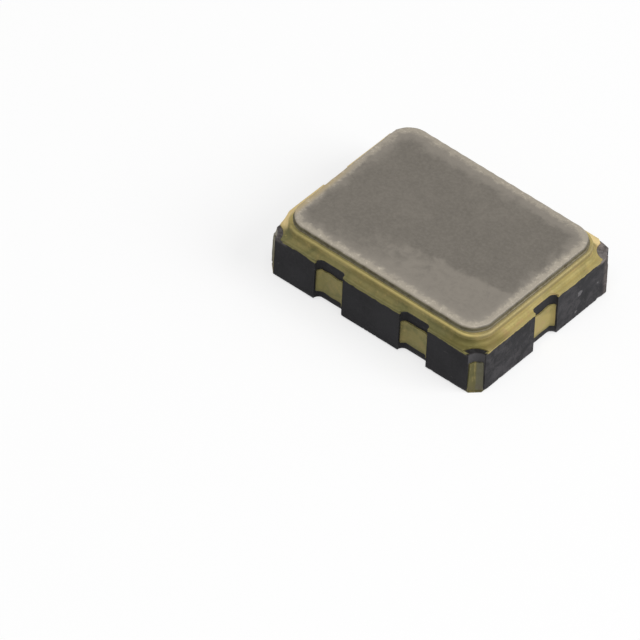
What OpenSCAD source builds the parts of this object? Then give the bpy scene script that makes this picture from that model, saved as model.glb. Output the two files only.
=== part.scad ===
// Surface-mount crystal oscillator, 3.2 mm x 2.5 mm ceramic package.
//
// A black ceramic body with a stepped cavity, a brazed seal ring and a welded
// metal lid. The cavity holds a quartz blank over an oscillator die. X runs
// along the package, Y across it, +Z up, and z = 0 is the mounting plane that
// the four soldering terminals touch. Terminal 1 has the index tab. Terminals
// are numbered anticlockwise from above, and so are the six side contacts.

/* [Ceramic body] */
// Length of the ceramic body
body_l = 3.2; // [3.1:0.05:3.6]
// Width of the ceramic body
body_w = 2.5; // [2.4:0.05:2.9]
// Thickness of the floor layer, under the die
floor_h = 0.11; // [0.08:0.01:0.2]
// Height of the layer that ends in the bonding shelf
bond_layer_h = 0.16; // [0.14:0.01:0.24]
// Height of the layer that ends in the crystal shelf
shelf_layer_h = 0.18; // [0.17:0.01:0.3]
// Height of the top layer, the wall round the crystal
top_layer_h = 0.14; // [0.13:0.01:0.3]
// Thickness of the wall round the crystal chamber
wall_t = 0.32; // [0.26:0.01:0.34]
// Corner radius of the crystal chamber
chamber_r = 0.1; // [0.05:0.01:0.16]
// Length of the shelf at each end of the crystal chamber
end_shelf_l = 0.28; // [0.24:0.01:0.36]
// Width of the shelf along each side of the crystal chamber
side_shelf_w = 0.21; // [0.14:0.01:0.23]

/* [Plating and castellations] */
// Thickness of all the metal plated on the ceramic
plate_t = 0.02; // [0.015:0.001:0.025]
// Radius of the quarter-round castellation at each corner
corner_r = 0.15; // [0.12:0.01:0.18]
// Radius of the collar that the plating keeps round each corner
collar_r = 0.235; // [0.21:0.005:0.25]
// Length of the half-slot notches in the sides
notch_l = 0.42; // [0.34:0.01:0.5]
// Depth of the half-slot notches in the sides
notch_d = 0.08; // [0.06:0.005:0.085]
// Distance between the two notches of a long side
notch_pitch = 1.27; // [1.1:0.01:1.5]

/* [Terminals] */
// Size of a terminal along the package
pad_l = 0.43; // [0.35:0.01:0.6]
// Size of a terminal across the package
pad_w = 0.88; // [0.7:0.01:0.95]
// Bare margin between the terminals and the ends of the body
pad_end_gap = 0.105; // [0.08:0.005:0.13]
// Bare margin between the terminals and the sides of the body
pad_side_gap = 0.085; // [0.06:0.005:0.12]
// Length of the index tab on terminal 1
tab_l = 0.18; // [0.1:0.01:0.3]
// Width of the index tab on terminal 1
tab_w = 0.19; // [0.1:0.01:0.3]

/* [Seal ring and lid] */
// Bare margin between the seal ring and the edge of the body
ring_gap = 0.1; // [0.09:0.005:0.12]
// Width of the seal ring
ring_w = 0.18; // [0.14:0.01:0.2]
// Height of the seal ring
ring_h = 0.125; // [0.1:0.005:0.2]
// Outer corner radius of the seal ring
ring_r = 0.3; // [0.25:0.01:0.35]
// Rounding of the ring's outer top edge
ring_edge_r = 0.02; // [0.01:0.005:0.03]
// Size of the braze fillet at the foot of the ring
fillet = 0.06; // [0.04:0.005:0.08]
// Bare ledge of the ring outside the lid
lid_gap = 0.06; // [0.04:0.005:0.08]
// Thickness of the lid
lid_t = 0.085; // [0.07:0.005:0.12]
// Rounding of the lid's top edge
lid_edge_r = 0.035; // [0.02:0.005:0.045]

/* [Die and bonding] */
// Length of the oscillator die
die_l = 1.2; // [1:0.05:1.4]
// Width of the oscillator die
die_w = 0.8; // [0.7:0.02:0.9]
// Thickness of the oscillator die
die_h = 0.13; // [0.1:0.01:0.16]
// Bare floor round the die
die_gap = 0.11; // [0.08:0.01:0.13]
// Thickness of the glue under the die
die_glue_h = 0.02; // [0.015:0.001:0.03]
// How far the glue under the die squeezes out round it
die_glue_lip = 0.02; // [0.01:0.005:0.03]
// Margin of the plated die pad round the glue
die_pad_lip = 0.04; // [0.02:0.005:0.05]
// Side of a bonding pad on the die
bond_pad = 0.09; // [0.08:0.005:0.1]
// Thickness of a bonding pad on the die
bond_pad_h = 0.01; // [0.008:0.001:0.015]
// Margin between the bonding pads and the edge of the die
bond_pad_edge = 0.03; // [0.02:0.005:0.05]
// Distance between the bonding wires of one side
wire_pitch = 0.42; // [0.35:0.01:0.44]
// Diameter of a bonding wire
wire_d = 0.025; // [0.02:0.001:0.03]
// Height of a bonding wire's arc over its ends
wire_rise = 0.08; // [0.06:0.005:0.1]
// Diameter of the bonded ball and of the stitch at a wire's ends
bond_d = 0.06; // [0.05:0.005:0.07]
// Length of a bonding finger along the package
finger_l = 0.22; // [0.15:0.01:0.3]
// Bare margin on each side of a bonding finger
finger_gap = 0.015; // [0.01:0.005:0.02]

/* [Quartz crystal] */
// Length of the quartz blank
blank_l = 2; // [1.8:0.05:2.1]
// Width of the quartz blank
blank_w = 1.3; // [1.2:0.05:1.5]
// Thickness of the quartz blank
blank_h = 0.06; // [0.04:0.005:0.08]
// Bare gap between the blank's fixed end and the chamber wall
blank_gap = 0.09; // [0.05:0.01:0.11]
// Size of a crystal pad along the package
crystal_pad_l = 0.2; // [0.15:0.01:0.21]
// Size of a crystal pad across the package
crystal_pad_w = 0.4; // [0.3:0.01:0.45]
// Bare gap between the crystal pads and the chamber wall
crystal_pad_gap = 0.04; // [0.02:0.005:0.05]
// Distance across the package between the two crystal pads
crystal_pad_pitch = 0.84; // [0.75:0.01:0.9]
// Height of the conductive glue under the blank
glue_h = 0.03; // [0.02:0.005:0.05]
// Diameter of a dot of the conductive glue
glue_d = 0.14; // [0.1:0.01:0.15]
// Thickness of an electrode film, drawn thicker than it is
film_t = 0.01; // [0.008:0.001:0.015]
// Length of the electrode over the middle of the blank
electrode_l = 1.1; // [0.9:0.05:1.2]
// Width of the electrode over the middle of the blank
electrode_w = 0.9; // [0.8:0.05:1]
// Width of the leg that joins an electrode to its glue
leg_w = 0.24; // [0.18:0.01:0.3]

/* [Hidden] */
$fn = 64;
eps = 0.1;  // how far a cutting shape runs past what it cuts

// Levels, upwards from the mounting plane
z_base = plate_t;
z_floor = z_base + floor_h;
z_bond = z_floor + bond_layer_h;
z_shelf = z_bond + shelf_layer_h;
z_top = z_shelf + top_layer_h;
z_ring = z_top + plate_t;
z_lid = z_ring + ring_h;
z_glue = z_floor + plate_t;
z_die = z_glue + die_glue_h;
z_bond_pad = z_die + die_h;
z_crystal_glue = z_shelf + plate_t;
z_film = z_crystal_glue + glue_h;
z_blank = z_film + film_t;

// Plan sizes of the cavity's three steps, from the top down
chamber_l = body_l - 2 * wall_t;
chamber_w = body_w - 2 * wall_t;
bond_open_l = chamber_l - 2 * end_shelf_l;
bond_open_w = chamber_w - 2 * side_shelf_w;
well_l = die_l + 2 * die_gap;
well_w = die_w + 2 * die_gap;

// Two edges of a terminal, measured out from the middle of the package
pad_inner_x = body_l / 2 - pad_end_gap - pad_l;
pad_outer_y = body_w / 2 - pad_side_gap;

// Plan sizes of the ring and the lid
ring_l = body_l - 2 * ring_gap;
ring_outer_w = body_w - 2 * ring_gap;
lid_l = ring_l - 2 * lid_gap;
lid_w = ring_outer_w - 2 * lid_gap;
lid_r = ring_r - lid_gap / 2;

// Bonding places, measured out from the middle of the package
finger_w = (bond_open_w - well_w) / 2 - 2 * finger_gap;
finger_y = (bond_open_w + well_w) / 4;
bond_pad_y = die_w / 2 - bond_pad_edge - bond_pad / 2;

// Places along the package at the crystal's fixed end
blank_end_x = blank_gap - chamber_l / 2;
blank_x = blank_end_x + blank_l / 2;
crystal_pad_x = crystal_pad_gap + crystal_pad_l / 2 - chamber_l / 2;
glue_x = blank_end_x + glue_d / 2 + film_t;
leg_y = (crystal_pad_pitch - leg_w) / 2;  // near edge of a leg

// Each notch: its middle on the body's edge, and the turn that lays it along
NOTCHES = [
    [-notch_pitch / 2, -body_w / 2, 0],
    [notch_pitch / 2, -body_w / 2, 0],
    [body_l / 2, 0, 90],
    [notch_pitch / 2, body_w / 2, 0],
    [-notch_pitch / 2, body_w / 2, 0],
    [-body_l / 2, 0, 90]
];

// Which way each corner lies from the middle, terminal 1 first
CORNERS = [[-1, -1], [1, -1], [1, 1], [-1, 1]];

WIRES = 6;
WIRES_A_SIDE = WIRES / 2;

function numbered(name, count) = [for (i = [1:count]) str(name, i)];

// ---- Shared shapes ----------------------------------------------------

// A block centred on Z, standing on z
module slab(l, w, h, z) {
    translate([-l / 2, -w / 2, z]) cube([l, w, h]);
}

// A rectangle with round corners, centred
module rounded_rect(l, w, r) {
    square([l - 2 * r, w], center = true);
    square([l, w - 2 * r], center = true);
    for (x = [-1, 1], y = [-1, 1])
        translate([x * (l / 2 - r), y * (w / 2 - r)]) circle(r);
}

// The +X side of a frame and the round corner at its +Y end
module frame_quarter(l, w, r) {
    translate([l / 2 - r, w / 2 - r, 0]) {
        rotate([90, 0, 0]) linear_extrude(w - 2 * r) children();
        rotate_extrude(angle = 90) children();
    }
}

// A section carried round a rounded rectangle of corner radius r. The
// section's x is its distance from the corner's centre, its y is height.
module frame_sweep(l, w, r) {
    for (turn = [0, 180]) {
        rotate(turn) frame_quarter(l, w, r) children();
        rotate(turn + 90) frame_quarter(w, l, r) children();
    }
}

// A section from x0 to x1, h high, with its outer top edge rounded by e
module edge_section(x0, x1, h, e) {
    translate([x0, 0]) square([x1 - x0, h - e]);
    translate([x0, 0]) square([x1 - x0 - e, h]);
    translate([x1 - e, h - e]) circle(e);
}

// The half-slot of a notch, as a whole slot centred on the body's edge
module notch_slot(depth) {
    flat = notch_l - 2 * notch_d;
    square([flat, 2 * depth], center = true);
    for (x = [-1, 1]) translate([x * flat / 2, 0]) circle(depth);
}

// Moves a notch drawn on the origin, along X, to its place i
module at_notch(i) {
    translate([NOTCHES[i][0], NOTCHES[i][1]]) rotate(NOTCHES[i][2]) children();
}

// Moves what is drawn for the corner at +X +Y to corner i
module at_corner(i) {
    mirror([CORNERS[i][0] < 0 ? 1 : 0, 0, 0])
        mirror([0, CORNERS[i][1] < 0 ? 1 : 0, 0]) children();
}

// Moves what is drawn for the middle wire of the +Y side to wire i
module at_wire(i) {
    row = i % WIRES_A_SIDE;
    translate([(row - (WIRES_A_SIDE - 1) / 2) * wire_pitch, 0, 0])
        mirror([0, i < WIRES_A_SIDE ? 1 : 0, 0]) children();
}

module body_rect() {
    square([body_l, body_w], center = true);
}

// Outline of the body with its notches, and its corners cut by radius r
module body_outline(r) {
    difference() {
        body_rect();
        for (x = [-1, 1], y = [-1, 1])
            translate([x * body_l / 2, y * body_w / 2]) circle(r);
        for (i = [0:len(NOTCHES) - 1]) at_notch(i) notch_slot(notch_d);
    }
}

// ---- Package ----------------------------------------------------------

module ceramic_base() {
    color([0.17, 0.17, 0.18]) difference() {
        translate([0, 0, z_base]) linear_extrude(z_top - z_base) body_outline(corner_r);
        translate([0, 0, z_shelf]) linear_extrude(top_layer_h + eps)
            rounded_rect(chamber_l, chamber_w, chamber_r);
        slab(bond_open_l, bond_open_w, shelf_layer_h + eps, z_bond);
        slab(well_l, well_w, bond_layer_h + eps, z_floor);
    }
}

// The plating on top of the body, with the fillet of braze that holds the ring
module braze_land() {
    lip = fillet / 10;  // the fillet's toe and top are this thick
    color([0.76, 0.65, 0.38]) intersection() {
        union() {
            translate([0, 0, z_top]) linear_extrude(plate_t) difference() {
                body_rect();
                rounded_rect(chamber_l, chamber_w, chamber_r);
            }
            translate([0, 0, z_ring]) frame_sweep(ring_l, ring_outer_w, ring_r)
                translate([ring_r, 0]) difference() {
                    square(fillet);
                    translate([fillet, fillet]) circle(fillet - lip);
                }
        }
        translate([0, 0, z_top]) linear_extrude(plate_t + fillet) body_outline(collar_r);
    }
}

module seal_ring() {
    color([0.8, 0.68, 0.4]) translate([0, 0, z_ring])
        frame_sweep(ring_l, ring_outer_w, ring_r)
            edge_section(ring_r - ring_w, ring_r, ring_h, ring_edge_r);
}

module lid() {
    color([0.55, 0.52, 0.48]) {
        slab(lid_l - 2 * lid_r, lid_w - 2 * lid_r, lid_t, z_lid);
        translate([0, 0, z_lid]) frame_sweep(lid_l, lid_w, lid_r)
            edge_section(0, lid_r, lid_t, lid_edge_r);
    }
}

// ---- Terminals and side contacts --------------------------------------

// Soldering pad with its collar round the corner, up the castellation
module terminal(i) {
    color([0.76, 0.65, 0.42]) at_corner(i) {
        linear_extrude(plate_t) difference() {
            intersection() {
                union() {
                    translate([pad_inner_x, pad_outer_y - pad_w]) square([pad_l, pad_w]);
                    if (i == 0)
                        translate([pad_inner_x - tab_l, pad_outer_y - tab_w])
                            square([tab_l + pad_l, tab_w]);
                    translate([body_l / 2, body_w / 2]) circle(collar_r);
                }
                body_rect();
            }
            translate([body_l / 2, body_w / 2]) circle(corner_r - plate_t);
        }
        linear_extrude(z_shelf) intersection() {
            translate([body_l / 2, body_w / 2]) difference() {
                circle(corner_r);
                circle(corner_r - plate_t);
            }
            body_rect();
        }
    }
}

// Plating on the wall of a notch, over the two middle layers
module side_contact(i) {
    color([0.72, 0.64, 0.42]) translate([0, 0, z_floor])
        linear_extrude(z_shelf - z_floor) intersection() {
            at_notch(i) difference() {
                notch_slot(notch_d);
                notch_slot(notch_d - plate_t);
            }
            body_rect();
        }
}

// ---- Die and its wires ------------------------------------------------

module die_attach_pad() {
    lip = 2 * (die_glue_lip + die_pad_lip);
    color("goldenrod") slab(die_l + lip, die_w + lip, plate_t, z_floor);
}

module die_attach_glue() {
    color("silver")
        slab(die_l + 2 * die_glue_lip, die_w + 2 * die_glue_lip, die_glue_h, z_glue);
}

module oscillator_die() {
    color([0.35, 0.37, 0.42]) slab(die_l, die_w, die_h, z_die);
}

module die_bond_pads() {
    color("gainsboro") for (i = [0:WIRES - 1])
        at_wire(i) translate([0, bond_pad_y, 0]) slab(bond_pad, bond_pad, bond_pad_h, z_bond_pad);
}

module bond_finger(i) {
    color("goldenrod") at_wire(i)
        translate([0, finger_y, 0]) slab(finger_l, finger_w, plate_t, z_bond);
}

// An arc from a bonded ball on the die to a stitch on the finger
module bond_wire(i) {
    lift = wire_d / 2;
    z_ball = z_bond_pad + bond_pad_h;
    z_stitch = z_bond + plate_t;
    span = finger_y - bond_pad_y;
    drop = z_stitch - z_ball;
    chord = norm([span, drop]);
    arc_r = (chord * chord / 4 + wire_rise * wire_rise) / (2 * wire_rise);
    half_angle = asin(chord / 2 / arc_r);
    tilt = atan2(drop, span);
    depth = arc_r - wire_rise;  // the arc's centre lies this far under the chord
    color("gold") at_wire(i) {
        translate([0, (bond_pad_y + finger_y) / 2 + depth * sin(tilt),
                   (z_ball + z_stitch) / 2 + lift - depth * cos(tilt)])
            rotate([90, 0, 90]) rotate(90 + tilt - half_angle)
                rotate_extrude(angle = 2 * half_angle) translate([arc_r, 0]) circle(wire_d / 2);
        translate([0, bond_pad_y, z_ball]) cylinder(d = bond_d, h = wire_d);
        translate([0, finger_y, z_stitch]) cylinder(d = bond_d, h = wire_d);
    }
}

// ---- Quartz crystal ---------------------------------------------------

module crystal_pad(side) {
    color("goldenrod") translate([crystal_pad_x, side * crystal_pad_pitch / 2, 0])
        slab(crystal_pad_l, crystal_pad_w, plate_t, z_shelf);
}

module crystal_glue(side) {
    color("silver") translate([glue_x, side * crystal_pad_pitch / 2, z_crystal_glue])
        cylinder(d = glue_d, h = glue_h);
}

module crystal_blank() {
    color([0.85, 0.9, 0.92, 0.6]) translate([blank_x, 0, 0]) slab(blank_l, blank_w, blank_h, z_blank);
}

// The electrode's field and its leg on the +Y side to the blank's fixed end
module electrode_film(z) {
    translate([blank_x, 0, 0]) slab(electrode_l, electrode_w, film_t, z);
    translate([blank_end_x, leg_y, z])
        cube([(blank_l - electrode_l) / 2 + leg_w, leg_w, film_t]);
}

// The top electrode's leg wraps round the end of the blank to reach its glue
module electrode_top() {
    color([0.85, 0.82, 0.72]) {
        electrode_film(z_blank + blank_h);
        translate([blank_end_x - film_t, leg_y, z_film]) {
            cube([film_t, leg_w, blank_h + 2 * film_t]);
            cube([film_t + glue_d + film_t, leg_w, film_t]);
        }
    }
}

module electrode_bottom() {
    color([0.85, 0.82, 0.72]) mirror([0, 1, 0]) electrode_film(z_film);
}

// ---- Nodes ------------------------------------------------------------

ceramic_base();
braze_land();
seal_ring();
lid();
for (i = [0:len(CORNERS) - 1])
    terminal(i);
for (i = [0:len(NOTCHES) - 1])
    side_contact(i);
die_attach_pad();
die_attach_glue();
oscillator_die();
die_bond_pads();
for (i = [0:WIRES - 1]) {
    bond_finger(i);
    bond_wire(i);
}
crystal_pad(1);  // crystal_pad_1
crystal_pad(-1);  // crystal_pad_2
crystal_glue(1);  // crystal_glue_1
crystal_glue(-1);  // crystal_glue_2
crystal_blank();
electrode_top();
electrode_bottom();
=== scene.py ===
"""Dresses the crystal oscillator's frame: fine surfaces, finishes, floor, light and camera."""

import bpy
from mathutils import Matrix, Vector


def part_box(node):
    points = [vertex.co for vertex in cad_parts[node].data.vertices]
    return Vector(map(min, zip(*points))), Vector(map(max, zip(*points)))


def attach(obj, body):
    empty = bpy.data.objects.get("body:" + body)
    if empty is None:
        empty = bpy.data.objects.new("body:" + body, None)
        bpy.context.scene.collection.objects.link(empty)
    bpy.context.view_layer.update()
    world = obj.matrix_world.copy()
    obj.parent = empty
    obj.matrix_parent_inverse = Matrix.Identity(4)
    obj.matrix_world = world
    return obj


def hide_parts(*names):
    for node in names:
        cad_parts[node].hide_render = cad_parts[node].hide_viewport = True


bl_info = {
    "name": "Crystal Oscillator",
    "version": (1, 0, 0),
    "blender": (4, 5, 0),
    "location": "3D View > Sidebar > Oscillator",
    "description": "Builds the surfaces and finishes of a ceramic-package crystal oscillator",
    "category": "Object",
}

from functools import partialmethod

import bmesh
import bpy
import numpy as np
from bpy.props import FloatProperty, FloatVectorProperty, PointerProperty
from mathutils import Matrix, Vector

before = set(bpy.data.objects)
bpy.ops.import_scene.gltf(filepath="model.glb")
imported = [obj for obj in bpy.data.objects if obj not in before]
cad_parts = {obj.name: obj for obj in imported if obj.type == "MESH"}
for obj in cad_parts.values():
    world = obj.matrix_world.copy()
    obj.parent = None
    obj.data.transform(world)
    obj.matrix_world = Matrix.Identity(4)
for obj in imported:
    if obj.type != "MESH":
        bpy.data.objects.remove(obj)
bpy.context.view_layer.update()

MM = 0.001
TINY = 2e-7        # two points closer than this are one
HALF_PI = np.pi / 2

TERMINALS = 4
NOTCHES = 6
WIRES = 6
CHIPS = (((1.6, 0.619, 0.37), 0.045), ((1.6, 0.562, 0.104), 0.02), ((1.6, 0.95, 0.30), 0.015))  # mm
PLATE_METAL = 0.65  # how metallic the rough plating looks
ROOM_LIGHT = 0.34   # level of the plain surroundings
FLOOR_WHITE = 0.7   # share of plain white in the floor as seen; the rest of it keeps the shadow
STEP = 0.02 * MM    # longest stretch of an outline
SHARP = 0.002 * MM  # corner radius of what has sharp corners


def low(name):
    """Lowest corner of a CAD node, as an array."""
    return np.array(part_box(name)[0])


def high(name):
    """Highest corner of a CAD node, as an array."""
    return np.array(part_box(name)[1])


def levels(name):
    """Lowest and highest level of a CAD node."""
    return low(name)[2], high(name)[2]


def half_size(name):
    """Half the plan size of a CAD node whose middle is on the origin."""
    return (high(name) - low(name))[:2] / 2


# ---- Sizes and colours a user would change -------------------------------


def length(name, description, value):
    """A length property, shown to the micrometre, whose default is given in millimetres."""
    return FloatProperty(name=name, description=description, default=value * MM, min=0,
                         precision=6, unit="LENGTH", subtype="DISTANCE")


def colour(name, description, value):
    """A colour property, from a linear red, green and blue."""
    return FloatVectorProperty(name=name, description=description, default=value,
                               min=0, max=1, size=3, subtype="COLOR")


class OscillatorSizes(bpy.types.PropertyGroup):
    """Sizes of the dressed surfaces that the frame's boxes don't give."""

    corner_radius: length("Castellation", "Radius of the quarter-round cut at each corner", 0.15)
    collar_radius: length("Collar", "Radius of the plated collar round each corner", 0.235)
    notch_length: length("Notch length", "Length of a half-slot notch in the sides", 0.42)
    notch_depth: length("Notch depth", "Depth of a half-slot notch in the sides", 0.08)
    notch_pitch: length("Notch pitch", "Distance between the notches of a long side", 1.27)
    body_edge: length("Body edge", "Rounding of the ceramic body's edges", 0.006)
    foot_wear: length("Foot wear", "Radius to which the body's foot is worn at its +X -Y corner", 0.045)
    layer_shift: length("Layer shift", "How far the top layer's cut lies off at one corner", 0.065)
    cut_wear: length("Cut wear", "How far that corner of the top layer is worn along Y", 0.03)
    cut_shift: length("Cut shift", "How far the other layers' cut lies off at that corner", 0.024)
    print_shift: length("Print shift", "How far the land's print lies off towards -Y", 0.04)
    print_back: length("Print back", "How far the land lies back from the -X side at one end", 0.07)
    side_wear: length("Side wear", "How far the -X side steps in at its top, at its -Y end", 0.058)
    side_skew: length("Side skew", "How far the top of that side lies in at its +Y end", 0.022)
    corner_wear: length("Corner wear", "How far that side's top edge is worn at its -Y end", 0.026)
    wall: length("Wall", "Width of the ceramic wall round the crystal chamber", 0.32)
    end_shelf: length("End shelf", "Width of the crystal's shelf at each end", 0.28)
    side_shelf: length("Side shelf", "Width of the shelf along each side", 0.21)
    die_room: length("Die clearance", "Space round the die in its well", 0.11)
    chamber_radius: length("Chamber corner", "Corner radius of the crystal chamber", 0.1)
    pad_end_gap: length("Pad end gap", "Bare margin between a terminal and the body's end", 0.105)
    pad_side_gap: length("Pad side gap", "Bare margin between a terminal and the body's side", 0.085)
    tab_width: length("Tab width", "Width of the index tab on terminal 1", 0.19)
    plating: length("Plating", "Thickness of the plating on the ceramic", 0.02)
    ring_radius: length("Ring corner", "Outer corner radius of the seal ring", 0.3)
    ring_width: length("Ring width", "Width of the seal ring", 0.18)
    ring_edge: length("Ring edge", "Rounding of the seal ring's outer top edge", 0.026)
    lid_radius: length("Lid corner", "Corner radius of the lid", 0.27)
    lid_edge: length("Lid edge", "Rounding of the lid's top edge", 0.024)
    lid_spread: length("Lid spread", "How far the welded rim spreads past the lid's own edge", 0.012)
    lid_off: length("Lid offset", "How far the lid lies off the middle, as placed", 0.012)
    lid_turn: FloatProperty(name="Lid turn", description="How far the lid is turned, as placed",
                            default=np.radians(-0.25), subtype="ANGLE")
    lid_fall: length("Lid fall", "How far the lid's top falls towards its edge", 0.010)
    weld_bead: length("Weld bead", "Size of the hollow bead of weld round the lid's foot", 0.018)
    lid_crown: length("Lid crown", "Width of the soft fall-off round the lid's top", 0.16)
    wire: length("Bonding wire", "Diameter of a bonding wire", 0.025)


class OscillatorColours(bpy.types.PropertyGroup):
    """Main colours of the finishes."""

    ceramic: colour("Ceramic", "Black fired ceramic of the body", (0.020, 0.0195, 0.0215))
    scuff: colour("Scuff", "Rubbed and chipped ceramic", (0.13, 0.125, 0.13))
    gold: colour("Gold", "Gold plating on the terminals, contacts and ring", (0.40, 0.325, 0.125))
    # tarnish, and also the colour of painted shade on the -Y side, on the braze and on the print
    tarnish_and_shade: colour("Tarnish", "Darker, greener patches of the plating", (0.165, 0.155, 0.06))
    lid: colour("Lid", "Matt nickel of the lid", (0.165, 0.150, 0.129))
    lid_mark: colour("Lid marks", "Paler smudges on the lid", (0.245, 0.222, 0.190))
    lid_rim: colour("Lid rim", "Bright welded rim of the lid", (0.36, 0.325, 0.27))
    floor: colour("Floor", "Plain pale floor", (0.97, 0.97, 0.97))


def sizes():
    """The scene's size properties."""
    return bpy.context.scene.oscillator_sizes


def colours():
    """The scene's colour properties."""
    return bpy.context.scene.oscillator_colours


# ---- Outlines, as whole arrays -------------------------------------------


def rays(angle):
    """The unit vectors (cosine, sine) of some angles."""
    return np.stack([np.cos(angle), np.sin(angle)], axis=1)


def arc(centre, radius, start, end, count):
    """Points on a circle: centre plus radius times (cosine, sine) of evenly spaced angles."""
    return np.asarray(centre) + radius * rays(np.linspace(start, end, count))


def rightwards(ways):
    """Vectors turned a quarter to the right."""
    return np.stack([ways[:, 1], -ways[:, 0]], axis=1)


def even_steps(points):
    """A closed outline with each stretch cut into equal steps no longer than STEP."""
    after = np.roll(points, -1, axis=0)
    gap = np.linalg.norm(after - points, axis=1)
    keep = gap > TINY
    points, after, gap = points[keep], after[keep], gap[keep]
    parts = np.maximum(1, np.ceil(gap / STEP - 0.01).astype(int))  # a hair over a whole step is none
    index = np.repeat(np.arange(len(points)), parts)
    share = (np.arange(parts.sum()) - np.repeat(np.cumsum(parts) - parts, parts)) / parts[index]
    return points[index] + (after - points)[index] * share[:, None]


def rounded_rectangle(half, radius, fine=24):
    """Anticlockwise outline: four quarter arcs about the corners of an inner rectangle, and lines."""
    hx, hy = half[0] - radius, half[1] - radius
    corners = [(hx, hy), (-hx, hy), (-hx, -hy), (hx, -hy)]
    turns = [arc(c, radius, k * HALF_PI, (k + 1) * HALF_PI, fine) for k, c in enumerate(corners)]
    return even_steps(np.concatenate(turns))


def package_outline(corner, fine=10):
    """Anticlockwise outline of the package. Each side is a line with half-slot notches, whose ends
    are quarter arcs, and each corner is a quarter arc that cuts inwards by the radius corner."""
    s, half = sizes(), half_size("ceramic_base")
    depth, pitch = s.notch_depth, s.notch_pitch
    flat = s.notch_length / 2 - depth
    pair = (-pitch / 2, pitch / 2)
    loop = []
    for out, places in (((0, -1), pair), ((1, 0), (0,)), ((0, 1), pair), ((-1, 0), (0,))):
        out = np.array(out, float)
        along = np.array([-out[1], out[0]])
        reach = half[1] if out[0] else half[0]
        run = []  # distance along the side, depth into it
        for place in places:
            run.append(arc((place - flat, 0), depth, np.pi, HALF_PI, fine))
            run.append(arc((place + flat, 0), depth, HALF_PI, 0, fine))
        run.append(arc((reach, 0), corner, np.pi, HALF_PI, fine))
        run = np.concatenate(run)
        loop.append(out * np.abs(out @ half) + run[:, :1] * along - run[:, 1:] * out)
    return even_steps(np.concatenate(loop))


def turned(loop, angle):
    """An outline turned about the origin by a cosine and a sine."""
    across, up = rays([angle])[0]
    return loop @ [[across, up], [-up, across]]


def ways(loop):
    """The unit vectors of a closed outline from each point to the next, and from the one before."""
    ahead = np.roll(loop, -1, axis=0) - loop
    ahead /= np.linalg.norm(ahead, axis=1, keepdims=True)
    return ahead, np.roll(ahead, 1, axis=0)


def outward(loop):
    """Normals of an anticlockwise outline: the sum of the unit normals of a point's two stretches,
    scaled so that a step along it moves both stretches out by that much."""
    ahead, behind = ways(loop)
    both = ahead + behind
    normal = rightwards(both)
    return 2 * normal / (normal ** 2).sum(axis=1, keepdims=True)


def travelled(loop):
    """How far round a closed outline each point lies, from 0 to 1."""
    gap = np.linalg.norm(np.roll(loop, -1, axis=0) - loop, axis=1)
    return (np.cumsum(gap) - gap) / gap.sum()


def worn_round(loop, radius):
    """The package's outline with the sharp turns at its +X -Y corner worn to a radius: near such a
    turn, a point that lies past the arc's centre towards both of its sides goes onto the arc."""
    ahead, behind = ways(loop)
    sharp = behind[:, 0] * ahead[:, 1] - behind[:, 1] * ahead[:, 0] > 0.5  # sine of the turn
    sides = [rightwards(way)[sharp] for way in (behind, ahead)]
    centre = loop[sharp] - radius * (sides[0] + sides[1])
    away = loop[:, None] - centre[None]
    reach = np.linalg.norm(away, axis=2)
    past = (away * sides[0]).sum(axis=2).clip(0) * (away * sides[1]).sum(axis=2).clip(0)
    near = (past > 0) & (reach < 1.6 * radius)
    which, moved = near.argmax(axis=1), near.any(axis=1)
    row = np.arange(len(loop))
    onto = centre[which] + radius * away[row, which] / reach[row, which][:, None]
    moved &= loop @ (1, -1) > half_size("ceramic_base").sum() - 0.3 * MM
    return np.where(moved[:, None], onto, loop)


def nearest_on(loop, half, radius):
    """The nearest points on a rounded rectangle: clamp to its inner rectangle, then go out by radius."""
    core = np.clip(loop, radius - np.asarray(half), np.asarray(half) - radius)
    away = loop - core
    return core + radius * away / np.linalg.norm(away, axis=1, keepdims=True)


def wander(place, waves, seed):
    """A smooth wavering line, closed over 0 to 1: a sum of sines of whole frequencies and set phases,
    of about -1 to 1."""
    rng = np.random.default_rng(seed)
    count = 14
    frequency = rng.integers(waves // 2, waves, count)
    phase = rng.uniform(0, 2 * np.pi, count)
    return np.sin(2 * np.pi * place[:, None] * frequency + phase).sum(axis=1) / np.sqrt(count)


def ease(value):
    """0 below 0, 1 above 1 and a smooth step between."""
    value = np.clip(value, 0, 1)
    return value * value * (3 - 2 * value)


def passed(value, start, end):
    """How far a value in metres has come from start to end, both in millimetres: a smooth step of 0
    to 1."""
    return ease((value - start * MM) / ((end - start) * MM))


def uneven(depth, sway, place, seed):
    """The depth of an uneven edge: a depth in millimetres, more or less by a share of a wavering
    line."""
    return depth * MM * (1 + sway * wander(place, 9, seed)).clip(0, 2)


def trimmed(points):
    """Points of the package as broken out of its sheet: what lies past the -X side moves onto it. Near
    its top that side lies back, a little towards its +Y end and more at its -Y end, where the very
    corner is also worn."""
    s = sizes()
    x, y, z = points.T
    joint, top = high("side_contact_1")[2], high("ceramic_base")[2]
    climb = (z - joint) / (top - joint)
    back = s.side_wear * passed(y, -0.80, -1.00)
    back += s.side_skew * np.clip((y + 0.7 * MM) / (1.5 * MM), 0, 1)
    worn = s.corner_wear * passed(y, -1.13, -1.25) * ease(climb)
    plane = low("ceramic_base")[0] + back * ease(climb + 0.25) + worn
    return np.stack([np.maximum(x, plane), y, z], axis=1)


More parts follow.
